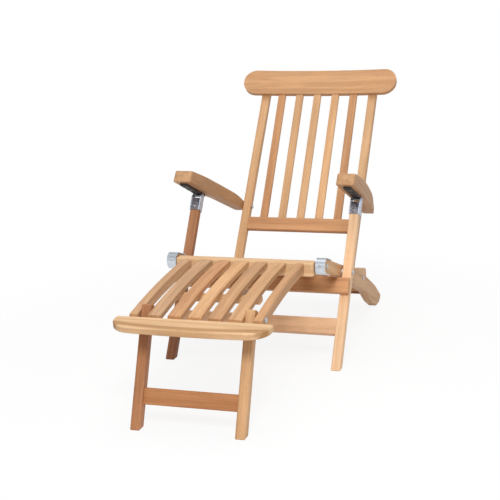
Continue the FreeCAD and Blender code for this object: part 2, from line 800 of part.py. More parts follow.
def pin_in_arm(angle):
    """Where the fork pin lies in the arm's frame with the back reclined by the angle."""
    pivot = (s.arm_pivot_y - s.back_pivot_y, s.arm_pivot_z - s.back_pivot_z)
    moved = turned(pivot, -angle)
    away = (fork_pin[0] - s.back_pivot_y - moved[0], fork_pin[1] - s.back_pivot_z - moved[1])
    return turned(away, s.arm_slope + angle * (1 - s.arm_follow))


def track(label, sign):
    """Steel strip under the arm with a notch for the pin at each position of the back."""
    body = new_body(label, place(sign * leg_x, *arm_pivot, s.arm_slope))
    top = -s.arm_under
    bottom = top - s.track_thick
    outline = rounded([(-s.track_front, top, 0), (-s.track_front, bottom, s.track_corner),
                       (-s.track_rear, bottom, s.track_corner), (-s.track_rear, top, 0)])
    pad(body, draw(body, "outline", "YZ_Plane", outline), "sizes.track_wide")
    steps = [s.recline_full * number / (s.notch_count - 1) for number in range(int(s.notch_count))]
    notches = [circle((pin_in_arm(angle)[0], bottom), s.pin_radius + s.notch_gap) for angle in steps]
    pocket_through(body, draw(body, "notches", "YZ_Plane", notches))
    return body


for side, sign in sides:
    arm(side + "_arm", sign)
    track(side + "_arm_track", sign)

# Footrest, which hinges on the rails' noses.

rest_inner = s.rest_rail_outer - s.rest_rail_thick
arch_back_y = s.knee_bar_y - s.knee_bar_deep / 2
arch_back = (arch_back_y, s.arch_back_z)
arch_middle = (s.arch_middle_y, s.arch_middle_z)
arch_front = (s.arch_front_y, s.arch_front_z)
arch, arch_radius = arc_centre(arch_back, arch_middle, arch_front)


def arch_point(y, depth):
    """Point at that y on the footrest's arch, or on the line that lies depth inside it."""
    return (y, height_on(arch, arch_radius - depth, y))


def arch_run(start_y, end_y, depth):
    """Corners of a run along the arch, or along the line that lies depth inside it.

    The run ends in short straights, tangent to its arc, so that its edges can be chamfered all round."""
    start, end = arch_point(start_y, depth), arch_point(end_y, depth)
    radius = arch_radius - depth
    half = (bearing(arch, end) - bearing(arch, start)) / 2
    bend = polar(arch, radius / math.cos(math.radians(half)), bearing(arch, start) + half)
    bend_radius = radius - s.arch_run_out / math.tan(math.radians(abs(half)))
    return [(*start, 0), (*bend, bend_radius), (*end, 0)]


def board_under(y):
    """Height of the footboard's underside."""
    tilt = math.radians(s.board_tilt)
    return s.board_top_z - s.board_thick / math.cos(tilt) + (y - s.board_back_y) * math.tan(tilt)


def rest_rail_outline():
    """Arched side rail with a tongue at its front that carries the footboard."""
    front, tip = s.arch_front_y, s.tongue_front_y
    tongue = [(front, board_under(front), 0), (tip, board_under(tip), 0)]
    under = arch_run(tip, arch_back_y, s.rest_rail_high)
    return rounded([*arch_run(arch_back_y, front, 0), *tongue, *under])


def rest_slat_outline():
    upper = arch_run(arch_back_y, s.arch_front_y, 0)
    lower = arch_run(s.arch_front_y, arch_back_y, s.rest_slat_thick)
    return rounded([*upper, *lower])


def knee_bar():
    """Bar with rounded ends, bored at both ends for the knee bolts."""
    bottom = s.knee_bar_z - s.knee_bar_high / 2
    body = new_body("knee_bar", place(0, s.knee_bar_y, bottom))
    half, deep = s.knee_bar_half, s.knee_bar_deep / 2
    corners = [(-half, -deep), (half, -deep), (half, deep), (-half, deep)]
    plan = rounded([(x, y, s.knee_bar_corner) for x, y in corners])
    pad(body, draw(body, "plan", "XY_Plane", plan), "sizes.knee_bar_high", middle=False)
    chamfer(body, "sizes.wood_ease", lambda edge: edge.BoundBox.ZLength < 1e-4)
    bore = (knee[0] - s.knee_bar_y, knee[1] - bottom)
    for side, sign in sides:
        bottom_x = sign * (half - s.knee_bolt_deep)
        sketch = draw(body, side + "_bore", "YZ_Plane", [circle(bore, drill)], bottom_x)
        pocket(body, sketch, "sizes.knee_bolt_deep", sign > 0)


def footboard():
    body = new_body("footboard", place(0, s.board_back_y, s.board_top_z, -s.board_tilt))
    half, side_deep = s.board_half, s.board_deep - s.board_bow
    plan = rounded([(-half, 0, s.board_back_corner), (half, 0, s.board_back_corner),
                    (half, -side_deep, s.board_corner), (0, -s.board_deep, s.board_bow_radius),
                    (-half, -side_deep, s.board_corner)])
    pad(body, draw(body, "plan", "XY_Plane", plan, -s.board_thick), "sizes.board_thick", middle=False)
    chamfer(body, "sizes.board_ease", lambda edge: edge.BoundBox.ZLength < 1e-4)


knee_bar()
for side, sign in sides:
    rail_middle = sign * (rest_inner + s.rest_rail_thick / 2)
    plank(side + "_footrest_rail", place(rail_middle, 0, 0), rest_rail_outline(), "sizes.rest_rail_thick",
          [(rest_pivot, drill)])
for number in range(int(s.rest_slat_count)):
    slat_x = (number - (s.rest_slat_count - 1) / 2) * s.rest_slat_pitch
    plank("footrest_slat_%d" % (number + 1), place(slat_x, 0, 0), rest_slat_outline(),
          "sizes.rest_slat_wide", ease="sizes.small_ease")
footboard()
board_frame = ((s.board_back_y, s.board_top_z), -s.board_tilt)
rest_bar_place = leaning_point(*board_frame, -s.rest_bar_behind, -s.board_thick - s.rest_bar_high / 2)
crossbar("footrest_front_bar", place(0, *rest_bar_place, -s.board_tilt),
         "2 * (sizes.rest_rail_outer - sizes.rest_rail_thick)", "sizes.rest_bar_deep", "sizes.rest_bar_high")
cleat_seat = arch_point(s.cleat_y, s.rest_slat_thick + s.cleat_thick / 2 + s.running_gap)
cleat_lean = 90.0 - bearing(arch, cleat_seat)
crossbar("footrest_cleat", place(0, *cleat_seat, cleat_lean),
         "(sizes.rest_slat_count - 1) * sizes.rest_slat_pitch + sizes.rest_slat_wide",
         "sizes.cleat_wide", "sizes.cleat_thick", "sizes.small_ease")

# Footrest legs, which fold up between the footrest's rails.

rest_leg_half = s.rest_leg_deep / 2
rest_leg_x = s.rest_leg_outer - s.rest_leg_wide / 2
rest_foot = -s.rest_pivot_z / math.cos(math.radians(s.rest_leg_lean))
for side, sign in sides:
    feet = [floor_line(s.rest_pivot_z, s.rest_leg_lean, across) for across in (-rest_leg_half, rest_leg_half)]
    corners = [(-rest_leg_half, feet[0], s.leg_foot_radius), (rest_leg_half, feet[1], s.leg_foot_radius),
               (rest_leg_half, s.rest_leg_above, s.rest_leg_top_radius),
               (-rest_leg_half, s.rest_leg_above, s.rest_leg_top_radius)]
    plank(side + "_footrest_leg", place(sign * rest_leg_x, *rest_pivot, s.rest_leg_lean), rounded(corners),
          "sizes.rest_leg_wide", [((0, 0), drill)])
rest_stretcher_place = leaning_point(rest_pivot, s.rest_leg_lean,
                                     rest_leg_half - s.rest_stretcher_thick / 2,
                                     rest_foot + s.rest_stretcher_up)
crossbar("footrest_stretcher", place(0, *rest_stretcher_place, s.rest_leg_lean),
         "2 * (sizes.rest_leg_outer - sizes.rest_leg_wide)",
         "sizes.rest_stretcher_thick", "sizes.rest_stretcher_high")

# Bolts, washers, pins and screws. Each pair is one node of two solids.

rail_outer = s.rail_inner_x + s.rail_thick
leg_inner = rail_outer + s.leg_gap
leg_outer = leg_inner + s.leg_wide
stile_outer = s.rail_inner_x - s.stile_gap


def lag_profile(inner_x, outer_x):
    """Half section of a bolt that ends inside the wood, with its head outside."""
    head = bolt_profile(inner_x, outer_x)[1:6]
    return [(inner_x, 0.0), *head, (inner_x, s.bolt_radius)]


def washer_profile(inner_x, outer_x):
    hole, edge = drill, s.bolt_head_radius + s.washer_rim
    return [(inner_x, hole), (outer_x, hole), (outer_x, edge), (inner_x, edge)]


def pin_profile():
    """Half section of the fork pin, riveted over at both cheeks."""
    inner, outer = leg_inner - s.fork_thick, leg_outer + s.fork_thick
    head, high = s.pin_head_radius, s.pin_head_high
    return [(inner - high, 0.0), (outer + high, 0.0), (outer + high, s.pin_radius), (outer, head),
            (outer, s.pin_radius), (inner, s.pin_radius), (inner, head), (inner - high, s.pin_radius)]


def facing(x, point, direction):
    """Frame at a side point whose up direction points along the given bearing."""
    return place(x, *point, 90.0 - direction)


def screws(label, placement, spots):
    """Domed screws at spots (x, y) of a frame whose up direction points out of the surface."""
    body = new_body(label, placement)
    shanks = draw(body, "shanks", "XY_Plane", [circle(spot, s.screw_radius) for spot in spots], -s.screw_long)
    pad(body, shanks, "sizes.screw_long", middle=False)
    heads = draw(body, "heads", "XY_Plane", [circle(spot, s.screw_head_radius) for spot in spots])
    pad(body, heads, "sizes.screw_head_high", middle=False)
    chamfer(body, "sizes.screw_dome", lambda edge: edge.BoundBox.ZMin > s.screw_head_high - 1e-4)


knee_bolt_end = s.knee_bar_half - s.knee_bolt_deep + s.bolt_end_gap
turned_pair("knee_bolts", place(0, *knee), lag_profile(knee_bolt_end, rail_outer))
turned_pair("leg_pivot_bolts", place(0, *leg_pivot), bolt_profile(s.rail_inner_x, leg_outer))
turned_pair("leg_washers", place(0, *leg_pivot), washer_profile(rail_outer, leg_inner))
turned_pair("back_pivot_bolts", place(0, *back_pivot), bolt_profile(stile_inner, rail_outer))
turned_pair("back_washers", place(0, *back_pivot), washer_profile(stile_outer, s.rail_inner_x))
for side, sign in sides:
    turned_piece(side + "_arm_bolt", place(0, *arm_pivot), bolt_profile(stile_inner, arm_seat_x), sign)
turned_pair("footrest_leg_bolts", place(0, *rest_pivot),
            lag_profile(s.rest_leg_outer - s.rest_bolt_bite, s.rest_rail_outer))
turned_pair("fork_pins", place(0, *fork_pin), pin_profile())
fork_screw_place = leaning_point(leg_pivot, s.leg_lean, -leg_half - s.fork_thick,
                                 s.fork_bottom + s.fork_screw_up)
screws("fork_screws", facing(0, fork_screw_place, 180.0 - s.leg_lean), [(leg_x, 0), (-leg_x, 0)])
strap_screw_place = polar(knee, s.nose_radius + s.steel_thick, nose_front)
screws("strap_screws", facing(0, strap_screw_place, nose_front), [(rail_x, 0), (-rail_x, 0)])

# Checks on the finished document, then one file for each piece.

doc.recompute()
for item in doc.Objects:
    if "Invalid" in item.State or "Error" in item.State:
        raise RuntimeError(item.Label + " did not compute")
os.makedirs("parts", exist_ok=True)
for body in parts:
    shape = body.Shape
    if shape.isNull() or not shape.isValid() or not shape.Solids:
        raise RuntimeError(body.Label + " has no valid solid")
    shape.exportStep("parts/%s.step" % body.Label)
    print(body.Label, len(shape.Solids), round(shape.Volume))
print("pieces", len(parts), "pin", [round(value, 1) for value in fork_pin], "up", round(pin_up, 1))
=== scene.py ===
import math
import random

import bmesh
import bpy
import numpy as np
from mathutils import Matrix, Vector


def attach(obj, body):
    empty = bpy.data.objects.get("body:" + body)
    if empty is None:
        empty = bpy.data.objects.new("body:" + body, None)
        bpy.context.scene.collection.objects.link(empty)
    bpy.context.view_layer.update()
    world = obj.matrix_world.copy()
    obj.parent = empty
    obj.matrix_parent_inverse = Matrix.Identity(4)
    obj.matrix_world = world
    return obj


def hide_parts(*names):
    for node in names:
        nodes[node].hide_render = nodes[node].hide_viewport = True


# Looks of a teak steamer deck chair. All lengths are metres, in the chair's own frame:
# +X is the sitter's left, the sitter faces -Y and the floor is at z = 0.

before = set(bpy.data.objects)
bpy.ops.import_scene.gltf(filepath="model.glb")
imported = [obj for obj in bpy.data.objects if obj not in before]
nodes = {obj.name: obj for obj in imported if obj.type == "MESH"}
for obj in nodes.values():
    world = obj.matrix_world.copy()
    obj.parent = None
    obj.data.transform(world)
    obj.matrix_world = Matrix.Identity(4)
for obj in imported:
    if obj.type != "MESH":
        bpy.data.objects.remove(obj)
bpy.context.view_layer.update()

# Wood tones, as linear colours of (early wood, late wood).
TONES = {
    "golden": ((0.690, 0.404, 0.202), (0.545, 0.285, 0.128)),
    "tan": ((0.600, 0.362, 0.195), (0.440, 0.238, 0.115)),
    "honey": ((0.570, 0.318, 0.155), (0.455, 0.232, 0.102)),
    "cream": ((0.900, 0.610, 0.370), (0.800, 0.490, 0.270)),
    "pale": ((0.790, 0.530, 0.300), (0.650, 0.385, 0.190)),
    "peach": ((0.810, 0.495, 0.285), (0.680, 0.380, 0.200)),
    "amber": ((0.600, 0.312, 0.145), (0.470, 0.218, 0.092)),
    "russet": ((0.480, 0.225, 0.105), (0.350, 0.142, 0.060)),
    "rust": ((0.540, 0.232, 0.090), (0.400, 0.150, 0.052)),
    "umber": ((0.370, 0.165, 0.078), (0.260, 0.100, 0.044)),
}
HONEY_PIECES = (
    "headrest", "left_arm", "right_arm", "left_arm_board", "right_arm_board", "left_footrest_rail",
    "footrest_slat_4",
)
CREAM_PIECES = ("left_main_leg",)
PALE_PIECES = ("knee_bar", "footboard", "seat_slat_2")
PEACH_PIECES = ("leg_stretcher",)
TAN_PIECES = (
    "right_footrest_rail", "footrest_slat_1", "right_seat_rail", "seat_slat_3",
)
AMBER_PIECES = (
    "back_slat_1", "back_slat_5", "lower_back_rail", "footrest_slat_2", "leg_stop_bar",
)
RUSSET_PIECES = ("right_main_leg", "right_footrest_leg")
RUST_PIECES = ("footrest_stretcher",)
# Umber: a darker teak tone that also stands as painted shade on these two bars, which sit in shadow
# under the chair.
UMBER_PIECES = ("footrest_front_bar", "rear_foot_bar")
TONE_GROUPS = (
    ("honey", HONEY_PIECES), ("cream", CREAM_PIECES), ("pale", PALE_PIECES),
    ("peach", PEACH_PIECES), ("amber", AMBER_PIECES), ("russet", RUSSET_PIECES),
    ("rust", RUST_PIECES), ("umber", UMBER_PIECES), ("tan", TAN_PIECES),
)
STEEL_PIECES = ("left_knee_strap", "right_knee_strap", "fork_pins", "leg_washers", "back_washers")
FORKS = ("left_leg_fork", "right_leg_fork")
TRACKS = ("left_arm_track", "right_arm_track")
FASTENERS = (
    "knee_bolts", "leg_pivot_bolts", "back_pivot_bolts", "left_arm_bolt", "right_arm_bolt",
    "footrest_leg_bolts", "fork_screws", "strap_screws",
)
# How far one board's colour may drift from its tone, as a share.
BOARD_DRIFT = 0.05

# The footboard's front edge: where it is, how it bows and how far its painted shade band wavers. The
# stops place that painted shade of the edge's round-over as shares of the depth behind that edge.
BOARD_FRONT = -0.792
BOARD_BOW = 0.43
BOARD_WAVER = 0.012
BOARD_DEPTH = 0.1
EDGE_SHADE_STOPS = [
    (0.20, (0.97, 0.95, 0.94)), (0.30, (0.60, 0.47, 0.33)), (0.44, (0.62, 0.50, 0.36)),
    (0.56, (1.0, 1.0, 1.0)),
]

# The right main leg's painted shadow by height, where the footrest shades it: darker and redder
# below, plain above.
LEG_SHADOW_STOPS = [(0.12, (0.72, 0.64, 0.60)), (0.34, (1.0, 1.0, 1.0))]

# Heights between which a knee strap is painted darker upwards as a painted dark reflection, and how
# dark.
STRAP_MIDDLE = 0.340
STRAP_TOP = 0.356
STRAP_SHADE = 0.50

# Where a fork's folded web lies, from the middle plane, and the width of its border; the web is
# painted dark as the shade under the arm.
FORK_MIDDLE = 0.280
FORK_WEB_HALF = 0.015
FORK_WEB_BORDER = 0.003

# Arms: arched boards that are broad in front, narrow behind and hollow behind the track.
# Stations from the front: along the arm, inner side, outer side, underside and top, in
# millimetres from the arm's bolt.
ARM_BOLT = (0.4482, 0.375)
ARM_SLOPE = math.radians(23.15)
ARM_STATIONS = (
    (-497, 247.5, 309, -17, 23), (-430, 247.5, 308, -17, 28), (-380, 247.5, 306, -17, 31.5),
    (-330, 247.5, 304, -17, 34), (-280, 247.5, 300, -17, 35.5), (-240, 246, 296, -10, 36),
    (-188, 243, 291, -7, 36), (-140, 236, 287, -7, 34), (-90, 228, 281, -8, 31),
    (-50, 225, 274, -9, 27), (-15, 225, 268, -11, 23), (27, 225, 262, -11, 17),
)
ARM_CUTS = 47
ARM_SOFTENING = 5
FRONT_SLANT = 0.014
# Edges further forward or back than these, and longer than the last, belong to an arm's ends.
FRONT_EDGES = -0.490
REAR_EDGES = 0.0269
END_EDGE_LENGTH = 0.02
FRONT_ROUNDING = 0.009
REAR_ROUNDING = 0.010
ROUNDING_SEGMENTS = 4
EDGE_EASE = 0.0024
EASE_SEGMENTS = 3
# The bolt's hole and the recess for its head: radii, and places from the middle plane.
BOLT_HOLE = 0.0043
HEAD_RECESS = 0.0095
HEAD_SEAT = 0.251
BORE_NEAR = 0.20
BORE_FAR = 0.32

HEADREST_EASE = 0.0025


# Shapes.

def arm_place(side, along, up):
    """A point of the arm's frame in the chair's frame, in metres."""
    turn_cos, turn_sin = math.cos(ARM_SLOPE), math.sin(ARM_SLOPE)
    return Vector((side, ARM_BOLT[0] + along * turn_cos + up * turn_sin,
                   ARM_BOLT[1] - along * turn_sin + up * turn_cos))


def softened_stations():
    """The stations at even steps along the arm, with their bends evened out."""
    stations = np.array(ARM_STATIONS, float) / 1000
    steps = np.linspace(stations[0, 0], stations[-1, 0], ARM_CUTS + 2)
    reach = ARM_SOFTENING // 2
    rows = [steps]
    for column in range(1, 5):
        run = np.pad(np.interp(steps, stations[:, 0], stations[:, column]), reach, mode="reflect",
                     reflect_type="odd")
        rows.append(np.convolve(run, np.full(ARM_SOFTENING, 1 / ARM_SOFTENING), "valid"))
    return np.array(rows).T


def bevel(shape, edges, offset, segments):
    bmesh.ops.bevel(shape, geom=edges, offset=offset, segments=segments, profile=0.5,
                    affect="EDGES", material=-1, clamp_overlap=True)


def piece_from(shape, name):
    bmesh.ops.recalc_face_normals(shape, faces=shape.faces)
    mesh = bpy.data.meshes.new(name)
    shape.to_mesh(mesh)
    shape.free()
    piece = bpy.data.objects.new(name, mesh)
    bpy.context.scene.collection.objects.link(piece)
    return piece


def bore(piece, sign, radius, near, far):
    """Cuts a round hole about the arm's bolt, from near to far of the middle plane."""
    shape = bmesh.new()
    bmesh.ops.create_cone(shape, cap_ends=True, segments=48, radius1=radius, radius2=radius,
                          depth=far - near)
    turn = Matrix.Rotation(math.radians(90), 4, "Y")
    move = Matrix.Translation(arm_place(sign * (near + far) / 2, 0, 0))
    bmesh.ops.transform(shape, matrix=move @ turn, verts=shape.verts)
    cutter = piece_from(shape, "cutter")
    cut = piece.modifiers.new("bore", "BOOLEAN")
    cut.operation = "DIFFERENCE"
    cut.solver = "EXACT"
    cut.object = cutter
    seen = piece.evaluated_get(bpy.context.evaluated_depsgraph_get())
    piece.data = bpy.data.meshes.new_from_object(seen)
    piece.modifiers.clear()
    bpy.data.objects.remove(cutter)


def arm_board(side, sign):
    """An arched arm with a slanted front end and softened edges."""
    shape = bmesh.new()
    bmesh.ops.create_cube(shape, size=1.0)
    runs = [edge for edge in shape.edges if abs(edge.verts[0].co.y - edge.verts[1].co.y) > 0.5]
    bmesh.ops.subdivide_edges(shape, edges=runs, cuts=ARM_CUTS)
    rows = softened_stations()
    for vertex in shape.verts:
        along, inner, outer, under, top = rows[round((vertex.co.y + 0.5) * (ARM_CUTS + 1))]
        high = vertex.co.z > 0
        if vertex.co.y < -0.499 and not high:
            along -= FRONT_SLANT
        width = outer if vertex.co.x > 0 else inner
        vertex.co = Vector((width, along, top if high else under))
    for ahead, offset in ((True, FRONT_ROUNDING), (False, REAR_ROUNDING)):
        ends = [edge for edge in shape.edges if is_end_edge(edge, ahead)]
        bevel(shape, ends, offset, ROUNDING_SEGMENTS)
    sharp = [edge for edge in shape.edges if edge.calc_face_angle(0) > math.radians(38)]
    bevel(shape, sharp, EDGE_EASE, EASE_SEGMENTS)
    for vertex in shape.verts:
        width, along, up = vertex.co
        vertex.co = arm_place(sign * width, along, up)
    board = piece_from(shape, side + "_arm_board")
    bore(board, sign, BOLT_HOLE, BORE_NEAR, BORE_FAR)
    bore(board, sign, HEAD_RECESS, HEAD_SEAT, BORE_FAR)
    board.data.polygons.foreach_set("use_smooth", [True] * len(board.data.polygons))
    board.data.set_sharp_from_angle(angle=math.radians(30))
    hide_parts(side + "_arm")
    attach(board, side + "_arm")
    return board


def is_end_edge(edge, ahead):
    """Upright edges of an arm's front end, or the edges across its rear end."""
    first, second = (vertex.co for vertex in edge.verts)
    if ahead:
        return max(first.y, second.y) < FRONT_EDGES and abs(first.z - second.z) > END_EDGE_LENGTH
    return min(first.y, second.y) > REAR_EDGES and abs(first.x - second.x) > END_EDGE_LENGTH


def soften_headrest():
    """Eased edges of the headrest board."""
    ease = nodes["headrest"].modifiers.new("eased_edges", "BEVEL")
    ease.width = HEADREST_EASE
    ease.segments = EASE_SEGMENTS
    ease.limit_method = "ANGLE"
    ease.angle_limit = math.radians(50)


# Node building.

def new_material(name):
    material = bpy.data.materials.new(name)
    material.use_nodes = True
    tree = material.node_tree
    tree.nodes.clear()
    output = tree.nodes.new("ShaderNodeOutputMaterial")
    shader = tree.nodes.new("ShaderNodeBsdfPrincipled")
    tree.links.new(shader.outputs["BSDF"], output.inputs["Surface"])
    return material, tree, shader


def mapped(tree, source, rotation=(0, 0, 0), scale=(1, 1, 1), shift=(0, 0, 0)):
    mapping = tree.nodes.new("ShaderNodeMapping")
    mapping.inputs["Location"].default_value = shift
    mapping.inputs["Rotation"].default_value = rotation
    mapping.inputs["Scale"].default_value = scale
    tree.links.new(source, mapping.inputs["Vector"])
    return mapping.outputs["Vector"]


def noise(tree, vector, detail=4.0, roughness=0.55, distortion=0.0):
    texture = tree.nodes.new("ShaderNodeTexNoise")
    texture.inputs["Scale"].default_value = 1.0
    texture.inputs["Detail"].default_value = detail
    texture.inputs["Roughness"].default_value = roughness
    texture.inputs["Distortion"].default_value = distortion
    tree.links.new(vector, texture.inputs["Vector"])
    return texture.outputs["Fac"]


def ramp(tree, value, stops):
    node = tree.nodes.new("ShaderNodeValToRGB")
    elements = node.color_ramp.elements
    for index, (place, colour) in enumerate(stops):
        element = elements[index] if index < 2 else elements.new(place)
        element.position = place
        element.color = (*colour, 1.0)
    tree.links.new(value, node.inputs["Fac"])
    return node.outputs["Color"]


def grey_ramp(tree, value, low, high, dark=0.0, light=1.0):
    return ramp(tree, value, [(low, (dark,) * 3), (high, (light,) * 3)])


def mix(tree, kind, share, first, second):
    node = tree.nodes.new("ShaderNodeMix")
    node.data_type = "RGBA"
    node.blend_type = kind
    sockets = {socket.identifier: socket for socket in node.inputs}
    for name, item in (("Factor_Float", share), ("A_Color", first), ("B_Color", second)):
        if isinstance(item, bpy.types.NodeSocket):
            tree.links.new(item, sockets[name])
        elif name == "Factor_Float":
            sockets[name].default_value = item
        else:
            sockets[name].default_value = (*item, 1.0)
    return next(socket for socket in node.outputs if socket.identifier == "Result_Color")


def bump(tree, height, strength, distance, normal=None):
    node = tree.nodes.new("ShaderNodeBump")
    node.inputs["Strength"].default_value = strength
    node.inputs["Distance"].default_value = distance
    tree.links.new(height, node.inputs["Height"])
    if normal is not None:
        tree.links.new(normal, node.inputs["Normal"])
    return node.outputs["Normal"]


def object_position(tree):
    return tree.nodes.new("ShaderNodeTexCoord").outputs["Object"]


def axis_of(tree, position, letter):
    parts = tree.nodes.new("ShaderNodeSeparateXYZ")
    tree.links.new(position, parts.inputs[0])
    return parts.outputs[letter]


def reckon(tree, operation, *items):
    """Result of a sum on sockets and plain numbers."""
    node = tree.nodes.new("ShaderNodeMath")
    node.operation = operation
    for place, item in enumerate(items):
        if isinstance(item, bpy.types.NodeSocket):
            tree.links.new(item, node.inputs[place])
        else:
            node.inputs[place].default_value = item
    return node.outputs[0]


def spread(tree, value, low, high, start=0.0, end=1.0, kind="LINEAR"):
    """A value's place between low and high, as a number from start to end."""
    node = tree.nodes.new("ShaderNodeMapRange")
    node.interpolation_type = kind
    for name, number in (("From Min", low), ("From Max", high), ("To Min", start), ("To Max", end)):
        node.inputs[name].default_value = number
    tree.links.new(value, node.inputs["Value"])
    return node.outputs["Result"]


def seen_directly(tree):
    """One where the camera or a glossy surface looks, nought for light that only falls."""
    rays = tree.nodes.new("ShaderNodeLightPath")
    return reckon(tree, "MAXIMUM", rays.outputs["Is Camera Ray"], rays.outputs["Is Glossy Ray"])


# Teak.

def grain_turn(piece):
    """Turn that lays a board's long direction along X, as Euler angles."""
    points = np.array([vertex.co for vertex in piece.data.vertices], float)
    points -= points.mean(0)
    long_way = Vector(np.linalg.svd(points, full_matrices=False)[2][0])
    if long_way.x + long_way.y < 0:
        long_way.negate()
    return long_way.rotation_difference(Vector((1, 0, 0))).to_euler()


def painted_edge_shade(tree, colour, position, waver):
    """Painted shade of the round-over: a dark band that follows the footboard's bowed front edge."""
    bow = reckon(tree, "POWER", axis_of(tree, position, "X"), 2.0)
    distance = axis_of(tree, position, "Y")
    for source, factor in ((bow, -BOARD_BOW), (waver, BOARD_WAVER)):
        distance = reckon(tree, "MULTIPLY_ADD", source, factor, distance)
    depth = spread(tree, distance, BOARD_FRONT, BOARD_FRONT + BOARD_DEPTH)
    return mix(tree, "MULTIPLY", 1.0, colour, ramp(tree, depth, EDGE_SHADE_STOPS))


def low_shade(tree, colour, position):
    """Painted shadow of the footrest: the wood grows darker and redder towards the floor."""
    painted_shades = ramp(tree, axis_of(tree, position, "Z"), LEG_SHADOW_STOPS)
    return mix(tree, "MULTIPLY", 1.0, colour, painted_shades)


def teak(piece, tone, chance):
    """Oiled teak with bands, fibres and pores that run along the board."""
    material, tree, shader = new_material("teak_" + piece.name)
    drift = 1.0 + chance.uniform(-BOARD_DRIFT, BOARD_DRIFT)
    warmth = 1.0 + chance.uniform(-BOARD_DRIFT, BOARD_DRIFT) / 2
    early, late = [(c[0] * drift * warmth, c[1] * drift, c[2] * drift / warmth) for c in TONES[tone]]
    position = object_position(tree)
    along = mapped(tree, position, rotation=grain_turn(piece))
    shift = tuple(chance.uniform(0, 40) for _ in range(3))
    bands = noise(tree, mapped(tree, along, scale=(1.6, 62, 62), shift=shift), 3.0, 0.5, 0.9)
    fibres = noise(tree, mapped(tree, along, scale=(9, 420, 420), shift=shift), 5.0, 0.6, 0.2)
    pores = noise(tree, mapped(tree, along, scale=(55, 1500, 1500), shift=shift), 2.0, 0.5)
    clouds = noise(tree, mapped(tree, along, scale=(3.5, 14, 14), shift=shift), 2.0, 0.5)
    colour = mix(tree, "MIX", grey_ramp(tree, bands, 0.38, 0.68, 0.0, 0.95), early, late)
    colour = mix(tree, "MULTIPLY", 0.50, colour, grey_ramp(tree, fibres, 0.30, 0.62, 0.74, 1.08))
    colour = mix(tree, "MULTIPLY", 0.60, colour, grey_ramp(tree, clouds, 0.30, 0.70, 0.82, 1.12))
    colour = mix(tree, "MULTIPLY", 0.40, colour, grey_ramp(tree, pores, 0.30, 0.44, 0.45, 1.0))
    # Painted shade along the footboard's rounded front edge.
    if piece.name == "footboard":
        colour = painted_edge_shade(tree, colour, position, bands)
    # Painted shadow low on the right main leg.
    if piece.name == "right_main_leg":
        colour = low_shade(tree, colour, position)
    tree.links.new(colour, shader.inputs["Base Color"])
    tree.links.new(grey_ramp(tree, fibres, 0.25, 0.75, 0.62, 0.46), shader.inputs["Roughness"])
    shader.inputs["Specular IOR Level"].default_value = 0.35
    relief = bump(tree, fibres, 0.35, 0.0004)
    relief = bump(tree, pores, 0.30, 0.0003, relief)
    tree.links.new(relief, shader.inputs["Normal"])
    return material


# Metals.

def zinc_steel():
    """Zinc-plated steel sheet with a faint spangle and rolling marks, and a painted dark reflection
    high on a strap.
    """
    material, tree, shader = new_material("zinc_plated_steel")
    position = object_position(tree)
    spangle = noise(tree, mapped(tree, position, scale=(160, 160, 160)), 2.0, 0.6, 0.5)
    rolled = noise(tree, mapped(tree, position, scale=(60, 900, 60)), 4.0, 0.6)
    colour = ramp(tree, spangle, [(0.35, (0.58, 0.64, 0.71)), (0.65, (0.74, 0.80, 0.87))])
    # Painted reflection: the zinc grows darker with height, a dark band high on a knee strap.
    height = axis_of(tree, position, "Z")
    painted_shades = grey_ramp(tree, height, STRAP_MIDDLE, STRAP_TOP, 1.0, STRAP_SHADE)
    colour = mix(tree, "MULTIPLY", 1.0, colour, painted_shades)
    tree.links.new(colour, shader.inputs["Base Color"])
    tree.links.new(grey_ramp(tree, rolled, 0.3, 0.7, 0.24, 0.40), shader.inputs["Roughness"])
    shader.inputs["Metallic"].default_value = 0.6
    tree.links.new(bump(tree, rolled, 0.15, 0.0002), shader.inputs["Normal"])
    return material


def fork_steel_with_painted_shade():
    """Steel of the forks: pale cheeks, and a web painted dark between them as the shade under the
    arm.
    """
    material, tree, shader = new_material("worn_fork_steel")
    position = object_position(tree)
    patches = noise(tree, mapped(tree, position, scale=(120, 120, 120)), 4.0, 0.6, 0.4)
    pale = ramp(tree, patches, [(0.35, (0.36, 0.40, 0.48)), (0.65, (0.60, 0.65, 0.74))])
    # Painted shade: the web lies in the arm's shadow.
    dark = ramp(tree, patches, [(0.35, (0.095, 0.088, 0.098)), (0.70, (0.32, 0.32, 0.36))])
    side = reckon(tree, "ABSOLUTE", axis_of(tree, position, "X"))
    side = reckon(tree, "ABSOLUTE", reckon(tree, "SUBTRACT", side, FORK_MIDDLE))
    at_cheek = spread(tree, side, FORK_WEB_HALF - FORK_WEB_BORDER, FORK_WEB_HALF)
    colour = mix(tree, "MIX", at_cheek, dark, pale)
    tree.links.new(colour, shader.inputs["Base Color"])
    tree.links.new(grey_ramp(tree, patches, 0.3, 0.7, 0.34, 0.52), shader.inputs["Roughness"])
    shader.inputs["Metallic"].default_value = 1.0
    tree.links.new(bump(tree, patches, 0.20, 0.0003), shader.inputs["Normal"])
    return material


def dark_steel():
    """Dark steel of the notched tracks, made near black both for its own finish and as painted shade
    in the groove under the arm.
    """
    material, tree, shader = new_material("blackened_steel")
    position = object_position(tree)
    patches = noise(tree, mapped(tree, position, scale=(90, 90, 90)), 4.0, 0.6)
    # Near-black colour: the steel's own dark finish together with painted shade under the arm.
    colour = ramp(tree, patches, [(0.35, (0.020, 0.017, 0.015)), (0.70, (0.055, 0.046, 0.040))])
    tree.links.new(colour, shader.inputs["Base Color"])
    tree.links.new(grey_ramp(tree, patches, 0.3, 0.7, 0.42, 0.62), shader.inputs["Roughness"])
    shader.inputs["Specular IOR Level"].default_value = 0.4
    tree.links.new(bump(tree, patches, 0.15, 0.0003), shader.inputs["Normal"])
    return material


